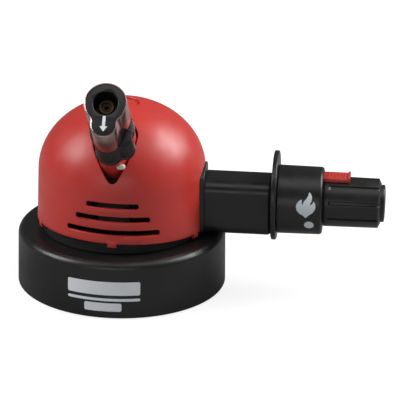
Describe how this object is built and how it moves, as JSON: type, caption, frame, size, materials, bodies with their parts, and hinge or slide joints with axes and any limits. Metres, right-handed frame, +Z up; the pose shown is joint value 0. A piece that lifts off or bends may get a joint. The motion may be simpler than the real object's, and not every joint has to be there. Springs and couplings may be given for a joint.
{
  "type": "table-top butane torch",
  "caption": "Self-igniting table-top torch: round weighted base, domed housing, tilted keyhole burner and a side handle with flame knob, button and lock.",
  "frame": {"origin": "centre of the base's underside, on the bench", "axes": "+Z up, +X out along the handle, -Y the front, where the burner points"},
  "size_m": [0.1935, 0.1332, 0.1305],
  "materials": {
    "red_plastic": "satin moulded, fine grain",
    "black_plastic": "satin moulded, fine grain",
    "black_rubber": "matte",
    "smoked_plastic": "smooth",
    "steel": "plain",
    "chrome": "bright",
    "brass": "turned",
    "ceramic": "glazed",
    "red_lock": "satin",
    "clear_tube": "smooth",
    "lead_sheath": "smooth"
  },
  "bodies": {
    "torch": {"base_shell": "black_plastic", "anti_slip_pad": "black_rubber", "base_cover": "black_plastic", "base_weight": "steel", "base_screw_1": "steel", "base_screw_2": "steel", "base_screw_3": "steel", "base_screw_4": "steel", "chassis_tray": "black_plastic", "chassis_screw_1": "steel", "chassis_screw_2": "steel", "chassis_screw_3": "steel", "dome_shell": "red_plastic", "top_cap": "red_plastic", "fuel_tank": "smoked_plastic", "fill_valve_body": "brass", "outlet_fitting": "brass", "gas_supply_tube": "clear_tube", "gas_delivery_tube": "clear_tube", "burner_bracket": "black_plastic", "ignition_lead": "lead_sheath", "burner_sleeve": "chrome", "burner_face_plate": "black_plastic", "burner_core": "black_plastic", "burner_nozzle": "brass", "burner_tube": "brass", "burner_collar": "black_plastic", "burner_neck": "red_plastic", "electrode_insulator": "ceramic", "electrode": "steel", "insulator_plug": "ceramic", "handle_saddle": "black_plastic", "handle_stock": "black_plastic", "piezo_holder": "black_plastic", "piezo_igniter": "black_plastic", "finger_guard": "black_plastic", "control_collar": "black_plastic", "valve_carrier": "black_plastic", "valve_body": "brass"},
    "knob": {"control_knob": "black_plastic", "valve_spindle": "brass"},
    "button": {"ignition_button": "black_plastic", "ignition_push_rod": "steel"},
    "lock": {"lock_slider": "red_lock"},
    "fill_stem": {"fill_valve_stem": "brass"}
  },
  "joints": [
    {"name": "knob_turn", "type": "hinge", "parent": "torch", "child": "knob", "pos_m": [0.12, 0, 0.0494], "axis": [1, 0, 0], "range_deg": [0, 75]},
    {"name": "button_press", "type": "slide", "parent": "torch", "child": "button", "axis": [-1, 0, 0], "range_m": [0, 0.003], "stiffness_N_per_m": 1200, "springref_m": -0.004},
    {"name": "lock_slide", "type": "slide", "parent": "torch", "child": "lock", "axis": [-1, 0, 0], "range_m": [0, 0.006]},
    {"name": "fill_valve_press", "type": "slide", "parent": "torch", "child": "fill_stem", "axis": [0, 0, 1], "range_m": [0, 0.0012], "stiffness_N_per_m": 1000, "springref_m": -0.002}
  ]
}
